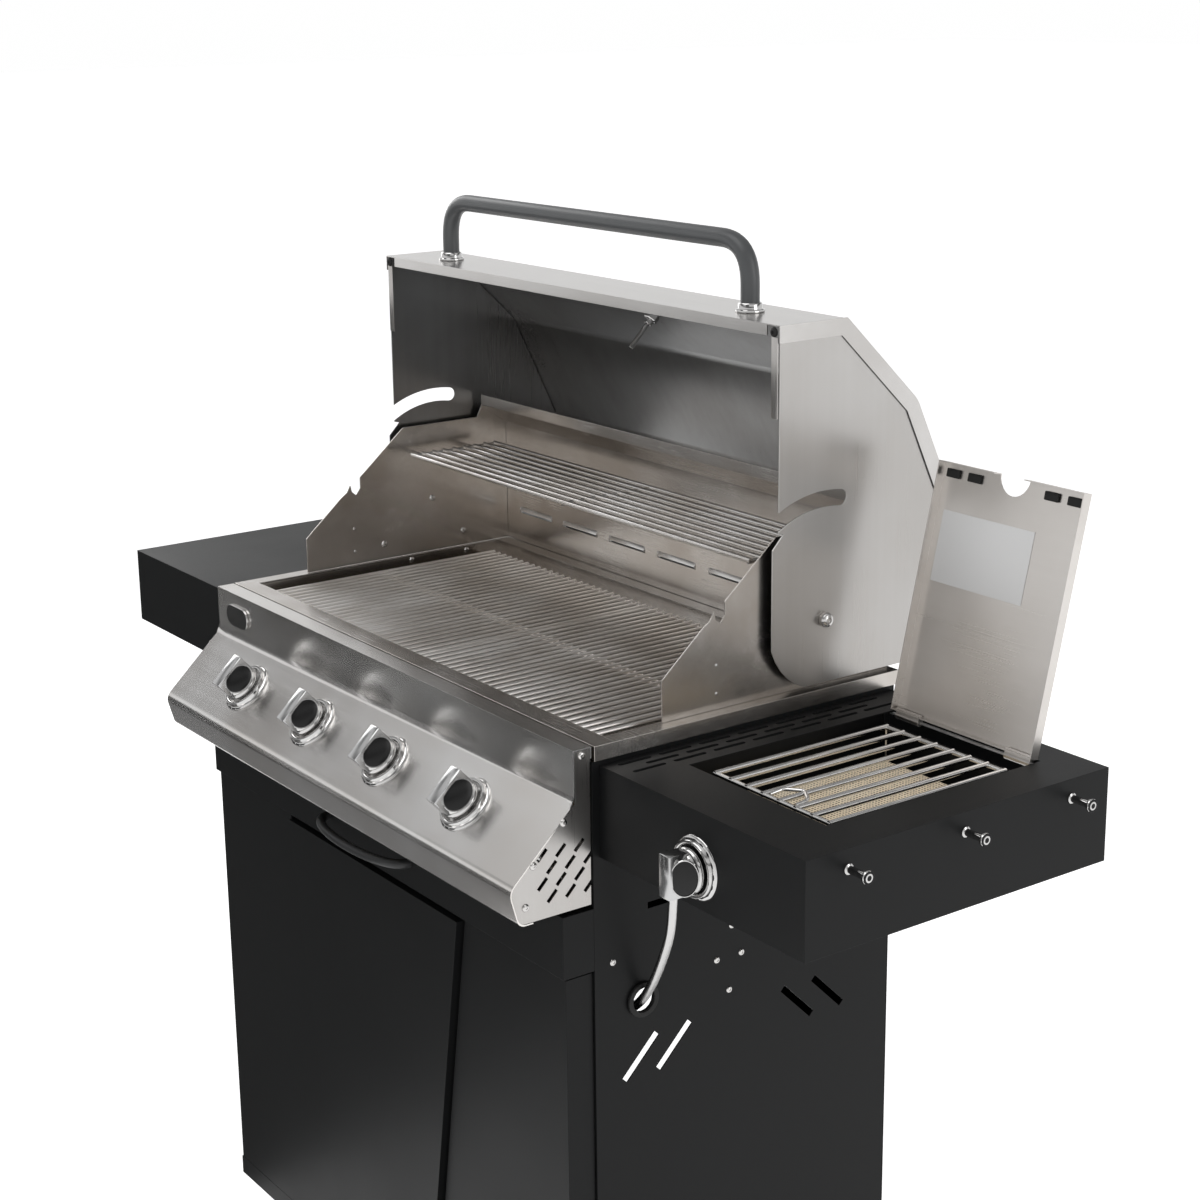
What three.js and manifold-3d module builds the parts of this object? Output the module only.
// Four-burner gas barbecue on a cabinet cart, with a side burner. Millimetres, +Z up, front towards -Y.
// It is shown with the hood and the side burner's lid open, which is also its rest pose.
import * as THREE from 'three';
import { mergeVertices } from 'three/addons/utils/BufferGeometryUtils.js';
import Module from 'manifold-3d';

const wasm = await Module();
wasm.setup();

// ---- driving dimensions -------------------------------------------------------------------------
const RIM = 900; // cooking rim above the floor
const SHEET = 1.5; // usual sheet metal
const GAP = 0.3; // between pieces that touch
const RIM_SKIRT = 16; // depth of the cooking rim's outer skirt
const PANEL_TOP = RIM - RIM_SKIRT - GAP;
const HALF_FASCIA = 380; // half the control panel's width
const HALF_CABINET = 381;
const CABINET_FRONT = 21.4;
const CABINET_BACK = 418;
const BASE_BOTTOM = 98;
const BASE_TOP = 122;
const CASTER_X = 335;
const SIDE_FLANGE = 20;

const KNOB_XS = [-240, -80, 80, 240];
const BEND_UPPER = [0, RIM - 54]; // fascia fold between its upright and its sloping face (y, z)
const BEND_LOWER = [-77.7, RIM - 127.5];
const PUSH = 3; // how far a knob presses in
const KNOB_DOWN_SLOPE = 50; // knob centre below the upper fold, along the slope

const HOOD_PIVOT = [320.4, RIM + 74.4];
const HOOD_OPEN = -Math.PI / 2;
const HOOD_HALF = 378; // outer face of the hood's sides
const SPIT = [-126.4, 20.6]; // closed spit hole, from the hood's pivot

const SHELF_INNER = HALF_CABINET + GAP;
const SHELF_OUTER = SHELF_INNER + 304;
const SHELF_FRONT = 30;
const SHELF_BACK = 415;
const SHELF_TOP = RIM - 20.6;
const SHELF_BOTTOM = RIM - 117;
const SIDE_BURNER_X = (SHELF_INNER + SHELF_OUTER) / 2;
const SIDE_KNOB_Z = RIM - 77;
const LID_HINGE = [370, RIM - 24];
const LID_LENGTH = 268;
const LID_OPEN = THREE.MathUtils.degToRad(-103.2);

const TRAY_BOTTOM = RIM - 226;
const TRAY_FRONT_Z = [RIM - 236, RIM - 169];
const DOOR_TOP = RIM - 242;
const DOOR_BOTTOM = 168;
const DOOR_HALF = 186; // at its top edge
const DOOR_TAPER = 0.165; // each side leans in by this much of the drop
const DOOR_HINGE = [-93, -8];
const DOOR_FRONT = -18;
const FRAME_FRONT = -11.6;
const HOSE_Y = 80;
const HOSE_END_X = 260;
const GROMMET_Z = RIM - 283;

// ---- colours ------------------------------------------------------------------------------------
const paint = (color, roughness, metalness) => new THREE.MeshStandardMaterial({ color, roughness, metalness });
const STAINLESS = paint(0xb9b6b0, 0.32, 1);
const CHROME = paint(0xdcdcdc, 0.08, 1);
const BLACK_STEEL = paint(0x26272a, 0.55, 0.2);
const GREY_COAT = paint(0x4a4d50, 0.5, 0.3);
const GALVANISED = paint(0x8e9294, 0.5, 0.9);
const BRASS = paint(0xb08d4f, 0.35, 1);
const CERAMIC = paint(0xd2b896, 0.9, 0);
const RUBBER = paint(0x1b1b1c, 0.85, 0);

// ---- shape helpers ------------------------------------------------------------------------------
const v2 = (p) => new THREE.Vector2(p[0], p[1]);
const v3 = (x, y, z) => new THREE.Vector3(x, y, z);

function solid(geometry) {
  const bare = new THREE.BufferGeometry();
  bare.setAttribute('position', geometry.getAttribute('position'));
  bare.setIndex(geometry.index);
  const welded = mergeVertices(bare, 1e-4);
  const vertProperties = new Float32Array(welded.getAttribute('position').array);
  const triVerts = new Uint32Array(welded.index.array);
  return new wasm.Manifold(new wasm.Mesh({ numProp: 3, vertProperties, triVerts }));
}

function geometryOf(body) {
  const mesh = body.getMesh();
  const geometry = new THREE.BufferGeometry();
  geometry.setAttribute('position', new THREE.BufferAttribute(new Float32Array(mesh.vertProperties), 3));
  geometry.setIndex([...mesh.triVerts]);
  geometry.computeVertexNormals();
  return geometry;
}

const asSolid = (piece) => (piece instanceof THREE.BufferGeometry ? solid(piece) : piece);
const joined = (...pieces) => pieces.map(asSolid).reduce((sum, next) => sum.add(next));
const without = (body, ...cutters) => cutters.map(asSolid).reduce((rest, next) => rest.subtract(next), asSolid(body));

function block(x, y, z) {
  const geometry = new THREE.BoxGeometry(x[1] - x[0], y[1] - y[0], z[1] - z[0]);
  return geometry.translate((x[0] + x[1]) / 2, (y[0] + y[1]) / 2, (z[0] + z[1]) / 2);
}

// A box with a box-shaped cavity, which is open where it reaches past the box.
const pan = (x, y, z, cavity) => without(block(x, y, z), block(...cavity));

function rod(radius, start, end, sides = 12) {
  const axis = end.clone().sub(start);
  const geometry = new THREE.CylinderGeometry(radius, radius, axis.length(), sides);
  geometry.applyQuaternion(new THREE.Quaternion().setFromUnitVectors(v3(0, 1, 0), axis.clone().normalize()));
  const middle = start.clone().add(end).multiplyScalar(0.5);
  return geometry.translate(middle.x, middle.y, middle.z);
}

function lathe(profile, sides) {
  const geometry = new THREE.LatheGeometry(profile.map(v2), sides);
  return geometry.rotateX(Math.PI / 2); // its axis becomes +Z
}

const AXES = {
  x: new THREE.Matrix4().makeBasis(v3(0, 1, 0), v3(0, 0, 1), v3(1, 0, 0)),
  y: new THREE.Matrix4().makeBasis(v3(1, 0, 0), v3(0, 0, 1), v3(0, -1, 0)),
  z: new THREE.Matrix4(),
};

// Extrudes an outline. Along x it is drawn in (y, z), along y in (x, z), along z in (x, y).
function plate(axis, outline, from, to, holes = []) {
  const shape = outline instanceof THREE.Shape ? outline : new THREE.Shape(outline.map(v2));
  shape.holes.push(...holes.map((hole) => new THREE.Path(hole.map(v2))));
  const depth = Math.abs(to - from);
  const geometry = new THREE.ExtrudeGeometry(shape, { depth, bevelEnabled: false, curveSegments: 8 });
  geometry.applyMatrix4(AXES[axis]);
  const start = axis === 'y' ? Math.max(from, to) : Math.min(from, to);
  const shift = { x: [start, 0, 0], y: [0, start, 0], z: [0, 0, start] }[axis];
  return geometry.translate(...shift);
}

// Moves a line of points sideways, to its left, with mitred corners.
function offset(points, distance, closed = false) {
  const count = points.length;
  const normal = (a, b) => {
    const length = Math.hypot(b[0] - a[0], b[1] - a[1]);
    return [-(b[1] - a[1]) / length, (b[0] - a[0]) / length];
  };
  return points.map((point, i) => {
    const before = points[closed ? (i + count - 1) % count : Math.max(i - 1, 0)];
    const after = points[closed ? (i + 1) % count : Math.min(i + 1, count - 1)];
    const first = before === point ? normal(point, after) : normal(before, point);
    const second = after === point ? first : normal(point, after);
    const stretch = distance / (1 + first[0] * second[0] + first[1] * second[1]);
    return [point[0] + (first[0] + second[0]) * stretch, point[1] + (first[1] + second[1]) * stretch];
  });
}

// Replaces the corner at points[index] with a smooth bend that starts "reach" before it.
function bend(points, index, reach, steps = 4) {
  const corner = v2(points[index]);
  const start = v2(points[index - 1]).sub(corner).setLength(reach).add(corner);
  const end = v2(points[index + 1]).sub(corner).setLength(reach).add(corner);
  const curve = new THREE.QuadraticBezierCurve(start, corner, end);
  const arc = curve.getPoints(steps).map((p) => [p.x, p.y]);
  return [...points.slice(0, index), ...arc, ...points.slice(index + 1)];
}

const sheetOutline = (line, thickness) => [...line, ...offset(line, thickness).reverse()];

function slot(length, width, turn, centre) {
  const corners = [[-length, -width], [length, -width], [length, width], [-length, width]];
  return corners.map(([a, b]) => [
    centre[0] + (a * Math.cos(turn) - b * Math.sin(turn)) / 2,
    centre[1] + (a * Math.sin(turn) + b * Math.cos(turn)) / 2,
  ]);
}

function tube(curve, radius, steps, sides) {
  const section = new THREE.Shape();
  section.absarc(0, 0, radius, 0, Math.PI * 2);
  const options = { steps, extrudePath: curve, bevelEnabled: false, curveSegments: sides };
  return new THREE.ExtrudeGeometry(section, options);
}

const root = new THREE.Group();
const model = new THREE.Group();
root.add(model);

function add(name, shape, material, group = model) {
  const geometry = shape instanceof THREE.BufferGeometry ? shape : geometryOf(shape);
  const mesh = new THREE.Mesh(geometry, material);
  mesh.name = name;
  group.add(mesh);
}

// ---- cart ---------------------------------------------------------------------------------------
const wide = [-HALF_CABINET, HALF_CABINET];

function addCart() {
  const baseY = [FRAME_FRONT, CABINET_BACK];
  const underside = [wide.map((x) => x * 0.996), [baseY[0] + SHEET, baseY[1] - SHEET], [0, BASE_TOP - SHEET]];
  const casterPlates = [-1, 1].map((side) => {
    const x = [side * (CASTER_X - 40), side * (HALF_CABINET - 1)].sort((a, b) => a - b);
    return block(x, [baseY[0] + 1, baseY[1] - 1], [BASE_BOTTOM, BASE_BOTTOM + SHEET]);
  });
  const base = pan(wide, baseY, [BASE_BOTTOM, BASE_TOP], underside);
  add('cart_base', joined(base, ...casterPlates), BLACK_STEEL);
  for (const side of [-1, 1]) addSidePanel(side);

  const panelZ = [BASE_TOP + GAP, PANEL_TOP];
  const accessOpening = block([-300, 300], [400, 440], [170, 385]);
  const rearY = [CABINET_BACK + GAP, CABINET_BACK + GAP + SHEET];
  add('rear_panel', without(block(wide, rearY, panelZ), accessOpening), BLACK_STEEL);
}

function addSidePanel(side) {
  const y0 = CABINET_FRONT;
  const y1 = CABINET_BACK;
  const outer = HALF_CABINET;
  const channel = [
    [outer - SIDE_FLANGE, y0], [outer, y0], [outer, y1], [outer - SIDE_FLANGE, y1],
    [outer - SIDE_FLANGE, y1 - SHEET], [outer - SHEET, y1 - SHEET],
    [outer - SHEET, y0 + SHEET], [outer - SIDE_FLANGE, y0 + SHEET],
  ].map(([x, y]) => [x * side, y]);
  const wall = plate('z', channel, BASE_TOP + GAP, PANEL_TOP);
  const runnerX = [side * 272, side * (outer - 1)].sort((a, b) => a - b);
  const runnerTop = TRAY_BOTTOM - GAP;
  const runner = block(runnerX, [110, 400], [runnerTop - SHEET, runnerTop]);
  const through = [side * 370, side * 390];
  const ventTurn = Math.PI / 4;
  const vents = [267 + 21, 310 + 21].flatMap((y) => [[y, -ventTurn], [2 * 204.5 - y, ventTurn]]);
  const cutters = vents.map(([y, turn]) => plate('x', slot(58, 8, turn, [y, RIM - 347]), ...through));
  cutters.push(plate('x', slot(34, 7, 0, [105, RIM - 183]), ...through));
  if (side > 0) cutters.push(rod(16, v3(370, HOSE_Y, GROMMET_Z), v3(390, HOSE_Y, GROMMET_Z), 16));
  add(side < 0 ? 'side_panel_left' : 'side_panel_right', without(joined(wall, runner), ...cutters), BLACK_STEEL);
}

// Half the width of the door's outline at height z.
const doorHalf = (z, margin) => DOOR_HALF + margin - DOOR_TAPER * (DOOR_TOP - z);

function addDoorAndFrame() {
  const top = RIM - 238.5;
  const bottom = BASE_TOP + GAP;
  const half = 378;
  const sill = DOOR_BOTTOM - 6;
  const flangeTop = top - SHEET;
  const outline = [[-half, bottom], [half, bottom], [half, top], [-half, top]];
  const opening = [
    [-doorHalf(sill, 6), sill], [doorHalf(sill, 6), sill], [doorHalf(flangeTop, 6), flangeTop],
    [-doorHalf(flangeTop, 6), flangeTop],
  ];
  const grown = offset(opening, -SHEET, true);
  const back = FRAME_FRONT + SHEET;
  const hollow = without(plate('y', offset(outline, SHEET, true), back, 40), plate('y', grown, back - 1, 50));
  const notch = block([-160, 160], [-30, -4], [flangeTop - 1, top + 1]);
  const slab = plate('y', outline, FRAME_FRONT, CABINET_FRONT - GAP, [opening]);
  const [hingeX, hingeY] = DOOR_HINGE;
  const pinEnds = [sill - 0.5, flangeTop + 0.5].map((z) => v3(hingeX, hingeY, z));
  const frame = joined(without(slab, hollow, notch), rod(2.5, ...pinEnds, 10));
  add('front_frame', frame, BLACK_STEEL);

  const doorOutline = [
    [-doorHalf(DOOR_BOTTOM, 0), DOOR_BOTTOM], [doorHalf(DOOR_BOTTOM, 0), DOOR_BOTTOM],
    [doorHalf(DOOR_TOP, 0), DOOR_TOP], [-doorHalf(DOOR_TOP, 0), DOOR_TOP],
  ];
  const skin = plate('y', doorOutline, DOOR_FRONT, 0);
  const inside = plate('y', offset(doorOutline, SHEET, true), DOOR_FRONT + SHEET, 10);
  const bore = rod(2.8, v3(hingeX, hingeY, DOOR_BOTTOM - 5), v3(hingeX, hingeY, DOOR_TOP + 5), 10);
  add('door', without(skin, inside, bore), BLACK_STEEL);
}

function addGreaseTray() {
  const halfTray = 288;
  const y = [CABINET_FRONT + GAP, 390];
  const z = [TRAY_BOTTOM, TRAY_BOTTOM + 30];
  const inside = [[-halfTray + SHEET, halfTray - SHEET], [y[0] + SHEET, y[1] - SHEET], [z[0] + SHEET, RIM]];
  add('grease_tray', pan([-halfTray, halfTray], y, z, inside), GALVANISED);

  const frontY = [-16, CABINET_FRONT];
  const [low, high] = TRAY_FRONT_Z;
  const back = [wide.map((x) => x * 0.996), [frontY[0] + SHEET, 40], [low + SHEET, high - SHEET]];
  const stiffener = block([-286, 286], [CABINET_FRONT - SHEET, CABINET_FRONT], [low, high]);
  const front = joined(pan(wide, frontY, [low, high], back), stiffener);
  const cavityMouth = block([-200, 200], [10, 40], [low + 20, high - 8]);
  add('tray_front', without(front, cavityMouth), BLACK_STEEL);

  const span = 95;
  const reach = 36;
  const radius = (span * span + reach * reach) / (2 * reach);
  const centreY = frontY[0] - GAP - reach + radius;
  const swing = Math.asin(span / radius);
  const bow = new THREE.Shape();
  bow.absarc(0, centreY, radius + 5, -Math.PI / 2 - swing, -Math.PI / 2 + swing);
  bow.absarc(0, centreY, radius - 5, -Math.PI / 2 + swing, -Math.PI / 2 - swing, true);
  const bowHeights = [RIM - 212, RIM - 202];
  const trim = block([-200, 200], [frontY[0] - GAP, 100], [RIM - 300, RIM]);
  add('tray_handle', without(plate('z', bow, ...bowHeights), trim), GREY_COAT);
}

// ---- firebox ------------------------------------------------------------------------------------
const BURNER_Z = RIM - 106;
const BURNER_RADIUS = 12;
const GRATE_TOP = RIM - 5;
const GRATE_ROD = 6.3;
const RACK_BOTTOM = RIM + 134;

function addFirebox() {
  const half = 363;
  const y = [50, 404];
  const z = [RIM - 160, RIM - SHEET - GAP];
  const ledges = [GRATE_TOP - GRATE_ROD - GAP - 3, GRATE_TOP - GRATE_ROD - GAP];
  const inside = [[-half + SHEET, half - SHEET], [y[0] + SHEET, y[1] - SHEET], [z[0] + SHEET, RIM]];
  const frontLedge = block([-half + 1, half - 1], [y[0] + 1, 68], ledges);
  const rearLedge = block([-half + 1, half - 1], [372, y[1] - 1], ledges);
  const tub = joined(pan([-half, half], y, z, inside), frontLedge, rearLedge);
  const holes = KNOB_XS.map((x) => rod(BURNER_RADIUS + 2, v3(x, 40, BURNER_Z), v3(x, 60, BURNER_Z)));
  const drain = block([-70, 70], [170, 290], [RIM - 170, RIM - 150]);
  add('firebox_tub', without(tub, drain, ...holes), GALVANISED);

  const rimX = [-382, 382];
  const rimY = [24, 425];
  const top = RIM;
  const skirt = [rimX.map((x) => x * 0.996), [rimY[0] + SHEET, rimY[1] - SHEET], [0, top - SHEET]];
  const ring = pan(rimX, rimY, [top - RIM_SKIRT, top], skirt);
  add('rim_frame', without(ring, block([-362, 362], [48, 402], [RIM - 30, RIM + 10])), STAINLESS);

  for (const side of [-1, 1]) addFireboxSide(side);

  const wallLine = [[384, 197], [384, 184], [422, 157], [422, GAP]].map(([a, b]) => [a, b + RIM]);
  const wall = plate('x', sheetOutline(wallLine, -SHEET), -365, 365);
  const louvres = [];
  for (let i = -3; i <= 3; i += 1) {
    louvres.push(block([i * 99.5 - 35, i * 99.5 + 35], [400, 440], [RIM + 39, RIM + 47]));
  }
  add('back_wall', without(wall, ...louvres), STAINLESS);
}

function addFireboxSide(side) {
  const outline = [
    [118, GAP], [422, GAP], [422, 157], [384, 184], [376, 168], [264, 168], [198, 112], [198, 98],
    [192, 90], [186, 95], [184, 104], [179, 95], [170, 89], [128, 53], [118, 44],
  ].map(([a, b]) => [a, b + RIM]);
  const x = (depth) => side * (367 + depth);
  const sheet = plate('x', outline, x(-SHEET), x(0));
  const [pivotY, pivotZ] = HOOD_PIVOT;
  const bolt = rod(4, v3(x(-1), pivotY, pivotZ), v3(x(14), pivotY, pivotZ));
  const head = rod(8, v3(x(11.4), pivotY, pivotZ), v3(x(16.5), pivotY, pivotZ), 6);
  const pegZ = RACK_BOTTOM - GAP - 3.5;
  const pegs = [284, 362].map((y) => rod(3.5, v3(x(-1), y, pegZ), v3(x(-45), y, pegZ), 8));
  const name = side < 0 ? 'firebox_side_left' : 'firebox_side_right';
  add(name, joined(sheet, bolt, head, ...pegs), STAINLESS);
}

function addBurners() {
  KNOB_XS.forEach((x, i) => {
    const radius = BURNER_RADIUS;
    const pipe = rod(radius, v3(x, 28, BURNER_Z), v3(x, 404 - SHEET - GAP, BURNER_Z));
    const throat = rod(radius - 3, v3(x, 20, BURNER_Z), v3(x, 60, BURNER_Z));
    add(`burner_tube_${i + 1}`, without(pipe, throat), STAINLESS);
  });
  const tents = KNOB_XS.map((x) => {
    const line = [[x - 48, RIM - 78], [x, RIM - 48], [x + 48, RIM - 78]];
    return plate('y', sheetOutline(line, -SHEET), 80, 392);
  });
  const bars = [96, 368].map((y) => block([-361.2, 361.2], [y, y + 8], [RIM - 82, RIM - 76]));
  add('heat_tents', joined(bars[0], bars[1], ...tents), STAINLESS);
}

// A flat grating: rods along one axis with ties across them, as a slab with the gaps cut out.
function grating(axis, long, wide, height, rods, rodWidth, ties, tieWidth) {
  const slab = (a, b, z) => (axis === 'x' ? block(a, b, z) : block(b, a, z));
  const through = [height[0] - 5, height[1] + 5];
  const gaps = [];
  for (let i = 0; i + 1 < rods.length; i += 1) {
    for (let j = 0; j + 1 < ties.length; j += 1) {
      const across = [rods[i] + rodWidth / 2, rods[i + 1] - rodWidth / 2];
      gaps.push(slab([ties[j] + tieWidth / 2, ties[j + 1] - tieWidth / 2], across, through));
    }
  }
  return without(slab(long, wide, height), ...gaps);
}

const evenly = (count, first, pitch) => Array.from({ length: count }, (_, i) => first + i * pitch);

function addGrates() {
  const pitch = 13.2;
  const count = 26;
  for (const side of [-1, 1]) {
    const middle = side * (2 + GRATE_ROD / 2 + (pitch * (count - 1)) / 2);
    const rods = evenly(count, middle - (pitch * (count - 1)) / 2, pitch);
    const width = [rods[0] - GRATE_ROD / 2, rods[count - 1] + GRATE_ROD / 2];
    const height = [GRATE_TOP - GRATE_ROD, GRATE_TOP];
    const shape = grating('y', [53, 378], width, height, rods, GRATE_ROD, [56, 212, 375], 6);
    add(side < 0 ? 'cooking_grate_left' : 'cooking_grate_right', shape, STAINLESS);
  }

  const rackRods = evenly(9, 258, 15.5);
  const rackHeight = [RACK_BOTTOM, RACK_BOTTOM + 7];
  add('warming_rack', grating('x', [-335, 335], [256, 384], rackHeight, rackRods, 4, [-333, 0, 333], 4), CHROME);
}

// ---- control panel ------------------------------------------------------------------------------
const slopeLength = Math.hypot(BEND_LOWER[0] - BEND_UPPER[0], BEND_LOWER[1] - BEND_UPPER[1]);
const slopeDown = [0, 1].map((i) => (BEND_LOWER[i] - BEND_UPPER[i]) / slopeLength);
const slopeTilt = Math.atan2(-slopeDown[1], -slopeDown[0]); // turns +Z to the slope's outward normal

// The place of one control: local +Z points out of the panel, at x along the panel.
function controlPlace(x) {
  const y = BEND_UPPER[0] + slopeDown[0] * KNOB_DOWN_SLOPE;
  const z = BEND_UPPER[1] + slopeDown[1] * KNOB_DOWN_SLOPE;
  return new THREE.Matrix4().makeRotationX(slopeTilt).setPosition(x, y, z);
}

const sidePlace = new THREE.Matrix4().makeRotationX(Math.PI / 2).setPosition(SIDE_BURNER_X, SHELF_FRONT, SIDE_KNOB_Z);
const bezel = () => lathe([[23.5, -0.6], [31, -0.6], [28, 5], [23.5, 5], [23.5, -0.6]], 16);
const stemHole = () => rod(7, v3(0, 0, -6), v3(0, 0, 12));
const valveNose = () => rod(9, v3(0, 0, -15), v3(0, 0, -SHEET - GAP));
const valveBody = () => joined(block([-13, 13], [-13, 13], [-44, -14]), valveNose());
const valveBore = () => rod(4.6, v3(0, 0, -30), v3(0, 0, 0), 10);

function addControlPanel() {
  const outer = [
    [21.6, RIM - 12], [21.6, RIM], [0, RIM], BEND_UPPER, BEND_LOWER, [-66.8, RIM - 166], [-50, RIM - 166],
  ];
  const line = bend(outer, 4, 9);
  const sheet = plate('x', sheetOutline(line, SHEET), -HALF_FASCIA, HALF_FASCIA);
  const bezels = KNOB_XS.map((x) => bezel().applyMatrix4(controlPlace(x)));
  const holes = KNOB_XS.map((x) => stemHole().applyMatrix4(controlPlace(x)));
  add('fascia', without(joined(sheet, ...bezels), ...holes), STAINLESS);

  const whole = bend([
    [21.6, RIM], [0, RIM], BEND_UPPER, BEND_LOWER, [-66.8, RIM - 166], [21.2, RIM - 166],
  ], 3, 9);
  for (const side of [-1, 1]) {
    const cutters = [];
    for (let row = 0; row < 4; row += 1) {
      for (let column = 0; column < 3; column += 1) {
        const centre = [-38 + column * 22 + (row % 2) * 11, RIM - 98 - row * 15];
        cutters.push(plate('x', slot(15, 4.2, Math.PI / 4, centre), side * 370, side * 390));
      }
    }
    const cap = plate('x', offset(whole, SHEET + GAP, true), side * (HALF_FASCIA - 0.4 - SHEET), side * (HALF_FASCIA - 0.4));
    add(side < 0 ? 'fascia_end_left' : 'fascia_end_right', without(cap, ...cutters), STAINLESS);
  }

  const badge = new THREE.Shape();
  badge.absarc(-14, 0, 13, Math.PI / 2, (3 * Math.PI) / 2);
  badge.absarc(14, 0, 13, -Math.PI / 2, Math.PI / 2);
  add('badge', plate('y', badge, -GAP - 3, -GAP).translate(-326, 0, RIM - 27), CHROME);
}

function addControl(name, stemName, place) {
  const group = new THREE.Group();
  place.decompose(group.position, group.quaternion, group.scale);
  model.add(group);
  add(stemName, rod(4, v3(0, 0, -24), v3(0, 0, 19)), GALVANISED, group);
  const skirt = rod(22.5, v3(0, 0, 5 + PUSH + GAP), v3(0, 0, 16), 24);
  const round = solid(rod(22.5, v3(0, 0, 14), v3(0, 0, 38), 24));
  const grip = round.intersect(solid(block([-8, 8], [-30, 30], [10, 40])));
  const bore = rod(4.3, v3(0, 0, 0), v3(0, 0, 19.4));
  add(name, without(joined(skirt, grip), bore), CHROME, group);
}

function addControls() {
  KNOB_XS.forEach((x, i) => addControl(`knob_${i + 1}`, `valve_stem_${i + 1}`, controlPlace(x)));
  addControl('knob_side', 'valve_stem_side', sidePlace);

  const pipeY = -4;
  const pipeZ = RIM - 122;
  const pipe = rod(9, v3(-275, pipeY, pipeZ), v3(HOSE_END_X - 2 * GAP, pipeY, pipeZ));
  const valves = KNOB_XS.map((x) => valveBody().transform(controlPlace(x).elements));
  const jets = KNOB_XS.map((x) => rod(3.5, v3(x, -12, BURNER_Z), v3(x, 26, BURNER_Z), 8));
  const bores = KNOB_XS.map((x) => valveBore().applyMatrix4(controlPlace(x)));
  add('gas_manifold', without(joined(pipe, ...valves, ...jets), ...bores), BRASS);

  const [x, z] = [SIDE_BURNER_X, SIDE_KNOB_Z];
  const inlet = rod(5, v3(x - 8, 62, z), v3(x - 26, 62, z), 8);
  const outlet = rod(4, v3(x, 70, z), v3(x, 92, z), 8);
  const valve = joined(valveBody().transform(sidePlace.elements), inlet, outlet);
  add('side_valve', without(valve, valveBore().applyMatrix4(sidePlace)), BRASS);
}

// ---- hood, drawn closed and from its pivot ------------------------------------------------------
function addHood() {
  const hood = new THREE.Group();
  hood.position.set(0, ...HOOD_PIVOT);
  hood.rotation.x = HOOD_OPEN;
  model.add(hood);

  const line = [[-311.9, -64], [-311.9, 25.6], [-216.3, 125.6], [-80.4, 190.6], [70.6, 190.6]];
  const half = HOOD_HALF + 1.7;
  const thick = 1.2;
  const flangeBand = [...line, ...offset(line, -18).reverse()];
  const flanges = [-1, 1].map((side) => plate('x', flangeBand, side * (half - thick), side * half));
  const lipWidth = [-half + 20, half - 20];
  const frontLip = block(lipWidth, [-311.5, -299.9], [-64, -64 + thick]);
  const rearLip = block(lipWidth, [70.6 - thick, 70.6], [178, 190]);
  const hole = rod(7, v3(0, -280, 82), v3(0, -255, 56));
  const sheet = plate('x', sheetOutline(line, -thick), -half, half);
  const skin = without(joined(sheet, frontLip, rearLip, ...flanges), hole);
  add('hood_skin', skin, STAINLESS, hood);

  const inner = offset(line, -1.6);
  inner[0][1] = -62.2;
  inner[4][0] = 69;
  const heelRadius = HOOD_PIVOT[1] - RIM - 0.8; // swings just over the rim
  const heel = new THREE.EllipseCurve(0, 0, heelRadius, heelRadius, -Math.acos(69 / heelRadius), -Math.asin(70 / heelRadius), true);
  const heelPoints = heel.getPoints(5).map((p) => [p.x, p.y]);
  const lower = [...inner, ...heelPoints, [-83.6, -70], [-98.6, -55.4], [-100, -62.2]];
  const cut = new THREE.Shape();
  const spitAngle = Math.atan2(SPIT[1], SPIT[0]);
  const spitRadius = Math.hypot(...SPIT);
  const mouth = spitAngle + 0.85;
  cut.absarc(0, 0, spitRadius + 8.5, mouth, spitAngle, true);
  cut.absarc(SPIT[0], SPIT[1], 8.5, spitAngle, spitAngle - Math.PI, true);
  cut.absarc(0, 0, spitRadius - 8.5, spitAngle, mouth);
  for (const side of [-1, 1]) {
    const sheet = plate('x', lower, side * HOOD_HALF, side * (HOOD_HALF - SHEET));
    const slotCut = plate('x', cut.clone(), side * 370, side * 385);
    const pivotHole = rod(4.6, v3(side * 370, 0, 0), v3(side * 385, 0, 0));
    add(side < 0 ? 'hood_side_left' : 'hood_side_right', without(sheet, slotCut, pivotHole), STAINLESS, hood);
  }
  addHoodHandle(hood);

  const out = v3(0, -0.72, 0.69); // outward normal of the hood's sloping front
  const centre = v3(0, -269.4, 70.3);
  const along = (distance) => centre.clone().addScaledVector(out, distance);
  const dial = rod(33, along(GAP + 0.5), along(13), 24);
  const stem = rod(3, along(-52), along(1), 8);
  const nut = rod(6, along(-12), along(4), 6);
  add('thermometer', joined(dial, stem, nut), STAINLESS, hood);
}

function addHoodHandle(hood) {
  const legX = 287;
  const z = -25.4;
  const face = -311.9 - GAP;
  const bar = -384.1;
  const corner = 45;
  const path = new THREE.CurvePath();
  const points = [v3(-legX, face, z), v3(-legX, bar, z), v3(legX, bar, z), v3(legX, face, z)];
  const from = (a, b) => b.clone().sub(a).setLength(corner).add(a);
  const [a, b, c, d] = points;
  path.add(new THREE.LineCurve3(a, from(b, a)));
  path.add(new THREE.QuadraticBezierCurve3(from(b, a), b, from(b, c)));
  path.add(new THREE.LineCurve3(from(b, c), from(c, b)));
  path.add(new THREE.QuadraticBezierCurve3(from(c, b), c, from(c, d)));
  path.add(new THREE.LineCurve3(from(c, d), d));
  const collars = [a, d].map((foot) => rod(15, foot, foot.clone().add(v3(0, -9, 0)), 16));
  add('hood_handle', joined(tube(path, 10, 32, 5), ...collars), GREY_COAT, hood);
}

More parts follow.
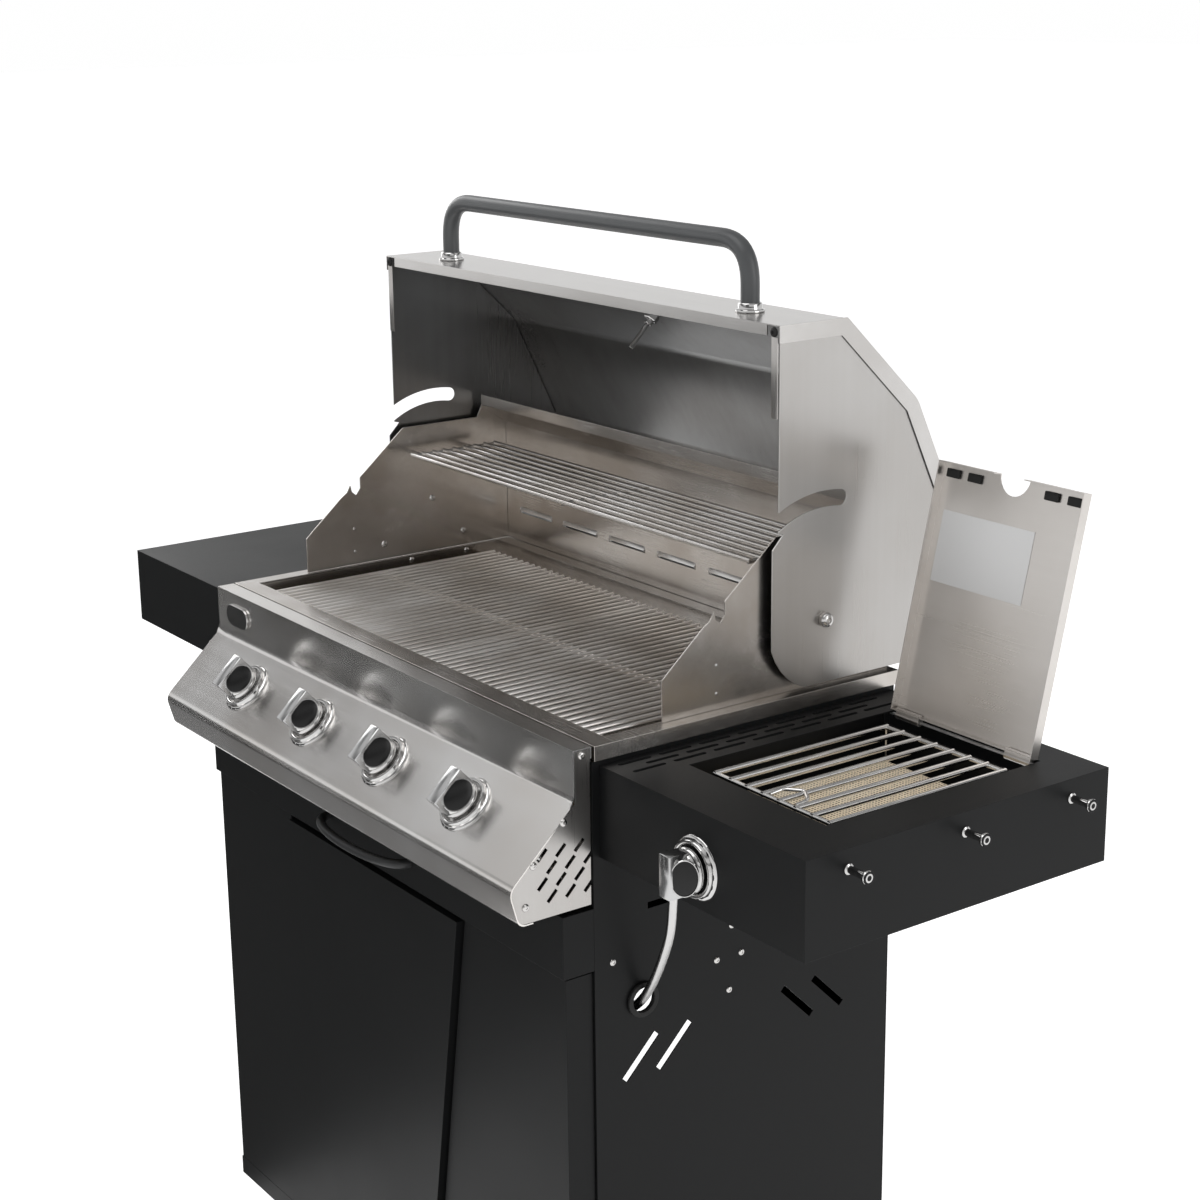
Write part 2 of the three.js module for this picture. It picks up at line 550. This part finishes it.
// ---- side shelves and side burner ---------------------------------------------------------------
function addShelves() {
  const range = (side, a, b) => [side * a, side * b].sort((m, n) => m - n);
  for (const side of [-1, 1]) {
    const outer = [range(side, SHELF_INNER, SHELF_OUTER), [SHELF_FRONT, SHELF_BACK], [SHELF_BOTTOM, SHELF_TOP]];
    const inside = [
      range(side, SHELF_INNER + SHEET, SHELF_OUTER - SHEET), [SHELF_FRONT + SHEET, SHELF_BACK - SHEET],
      [0, SHELF_TOP - SHEET],
    ];
    let shelf = pan(...outer, inside);
    if (side > 0) shelf = finishBurnerShelf(shelf);
    add(side < 0 ? 'shelf_left' : 'shelf_right', shelf, BLACK_STEEL);
  }
}

const OPENING_X = [SIDE_BURNER_X - 100, SIDE_BURNER_X + 100];
const OPENING_Y = [100, 376];

function finishBurnerShelf(shelf) {
  const opening = block(OPENING_X, OPENING_Y, [SHELF_TOP - 10, SHELF_TOP + 10]);
  const hookY = [79.5, 223, 363.5];
  const hooks = hookY.flatMap((y) => {
    const from = (x) => v3(SHELF_OUTER + x, y, RIM - 40);
    return [rod(3.5, from(-1), from(26), 8), rod(6.5, from(24), from(27.5), 10)];
  });
  const bossed = joined(shelf, ...hooks, bezel().applyMatrix4(sidePlace));
  return without(bossed, opening, stemHole().applyMatrix4(sidePlace));
}

function addSideBurner() {
  const bowlX = [OPENING_X[0] - 6, OPENING_X[1] + 6];
  const bowlY = [OPENING_Y[0] - 4, OPENING_Y[1] - 16];
  const bowlZ = [RIM - 88, SHELF_TOP - SHEET - GAP];
  const cavity = [bowlX, bowlY, [bowlZ[0] + SHEET, RIM]].map(([a, b], i) => (i < 2 ? [a + SHEET, b - SHEET] : [a, b]));
  const tail = block([SIDE_BURNER_X - 12, SIDE_BURNER_X + 12], [200, 260], [RIM - 100, RIM - 80]);
  const lidRelief = block([OPENING_X[0] - 2, OPENING_X[1] + 2], [bowlY[1] - 4, bowlY[1] + 2], [RIM - 33, RIM]);
  add('burner_bowl', without(pan(bowlX, bowlY, bowlZ, cavity), tail, lidRelief), GALVANISED);

  const mid = SIDE_BURNER_X;
  const tile = block([mid - 66, mid + 66], [134, 330], [RIM - 66, RIM - 58]);
  const floorTop = RIM - 88 + SHEET + GAP;
  const frame = block([mid - 70, mid + 70], [130, 334], [floorTop, RIM - 60]);
  add('ceramic_burner', joined(frame, tile), CERAMIC);

  const top = RIM - 26;
  const rodWidth = 5.6;
  const bars = evenly(8, mid - 83, 166 / 7);
  const width = [bars[0] - rodWidth / 2, bars[7] + rodWidth / 2];
  const ends = [117 + rodWidth / 2, 347 - rodWidth / 2];
  const trivet = grating('y', [117, 347], width, [top - rodWidth, top], bars, rodWidth, ends, rodWidth);
  const feet = [bars[0], bars[7]].flatMap((x) => ends.map((y) => rod(2.6, v3(x, y, floorTop), v3(x, y, top - 1), 8)));
  add('trivet', joined(trivet, ...feet), CHROME);

  const lid = new THREE.Group();
  lid.position.set(mid, ...LID_HINGE);
  lid.rotation.x = LID_OPEN;
  model.add(lid);
  const lidTop = SHELF_TOP - LID_HINGE[1];
  const outer = [[-98, 98], [-LID_LENGTH, -5], [lidTop - 11, lidTop]];
  const body = pan(...outer, [[-96.8, 96.8], [-LID_LENGTH + 1.2, -6.2], [-60, lidTop - 1.2]]);
  const notch = rod(20, v3(0, -LID_LENGTH, lidTop - 30), v3(0, -LID_LENGTH, lidTop + 5), 24);
  const knuckles = [-1, 1].map((side) => rod(4, v3(side * 60, 0, 0), v3(side * 94, 0, 0), 10));
  const ears = [-1, 1].map((side) => block([77 * side - 17, 77 * side + 17], [-8, 0], [-3, 1]));
  const pinHole = rod(2.1, v3(-110, 0, 0), v3(110, 0, 0), 10);
  const cover = joined(without(body, notch), ...knuckles, ...ears);
  add('burner_lid', without(cover, pinHole), STAINLESS, lid);
  const pinEnds = [-104, 104].map((x) => v3(mid + x, ...LID_HINGE));
  add('lid_hinge_rod', rod(1.6, ...pinEnds, 10), GALVANISED);
}

// The corrugated gas hose: from the side burner's valve, in through the right side panel, up to the manifold.
function addHose() {
  const route = [
    [SIDE_BURNER_X - 27.5, 62, -77], [488, 62, -77], [461, 69, -84], [442, 77, -104], [434, HOSE_Y, -132],
    [432.5, HOSE_Y, -160], [428, HOSE_Y, -194], [414, HOSE_Y, -230], [397, HOSE_Y, -262], [380, HOSE_Y, -285],
    [362, 79.5, -301], [344, 77.5, -310.5], [323, 73, -311.5], [304, 67, -301], [294, 60, -284], [293, 53, -262],
    [297, 48, -238], [302, 44, -212], [306, 39, -187], [308, 31, -165], [306.5, 20, -148], [300, 9, -135],
    [289, 1, -127], [276, -3.6, -122.6], [HOSE_END_X, -4, -122],
  ];
  const curve = new THREE.CatmullRomCurve3(route.map(([x, y, z]) => v3(x, y, RIM + z)), false, 'centripetal');
  add('gas_hose', tube(curve, 4.9, 28, 4), STAINLESS);

  const across = (from, to) => [v3(from, HOSE_Y, GROMMET_Z), v3(to, HOSE_Y, GROMMET_Z)];
  const flange = rod(19, ...across(HALF_CABINET + GAP, HALF_CABINET + 4), 20);
  const neck = rod(15.6, ...across(HALF_CABINET - 2, HALF_CABINET + 1), 16);
  add('hose_grommet', without(joined(flange, neck), rod(13.5, ...across(370, 390), 16)), RUBBER);
}

// ---- casters ------------------------------------------------------------------------------------
const WHEEL_RADIUS = 37.5;
const TRAIL = 24;

function addCaster(label, x, y) {
  const wheelHalf = 12;
  const cheekInner = wheelHalf + 2;
  const plateTop = BASE_BOTTOM - GAP;
  const head = rod(22, v3(x, y, plateTop - 12), v3(x, y, plateTop), 12);
  const crown = block([x - cheekInner - 3, x + cheekInner + 3], [y - 14, y + TRAIL + 10], [plateTop - 16, plateTop - 11]);
  const cheekLine = [[y - 14, plateTop - 12], [y + TRAIL - 9, WHEEL_RADIUS - 9], [y + TRAIL + 9, WHEEL_RADIUS - 9],
    [y + TRAIL + 10, plateTop - 12]];
  const cheeks = [-1, 1].map((side) => plate('x', cheekLine, x + side * cheekInner, x + side * (cheekInner + 3)));
  const axleEnds = [-1, 1].map((side) => v3(x + side * (cheekInner + 5), y + TRAIL, WHEEL_RADIUS));
  const axle = rod(4, ...axleEnds, 10);
  add(`caster_fork_${label}`, joined(crown, head, axle, ...cheeks), GALVANISED);

  const rim = [[4.4, -wheelHalf], [34, -wheelHalf], [WHEEL_RADIUS, -8], [WHEEL_RADIUS, 8], [34, wheelHalf],
    [4.4, wheelHalf], [4.4, -wheelHalf]];
  const wheel = lathe(rim, 24).rotateY(Math.PI / 2).translate(x, y + TRAIL, WHEEL_RADIUS);
  add(`caster_wheel_${label}`, wheel, RUBBER);
}

addCart();
addDoorAndFrame();
addGreaseTray();
addFirebox();
addBurners();
addGrates();
addControlPanel();
addControls();
addHood();
addShelves();
addSideBurner();
addHose();
for (const [end, y] of [['front', 34], ['rear', 360]]) {
  addCaster(`${end}_left`, -CASTER_X, y);
  addCaster(`${end}_right`, CASTER_X, y);
}

// The origin is the middle of the footprint, on the floor.
const bounds = new THREE.Box3().setFromObject(root);
const centre = bounds.getCenter(new THREE.Vector3());
model.position.set(-centre.x, -centre.y, -bounds.min.z);

export default root;
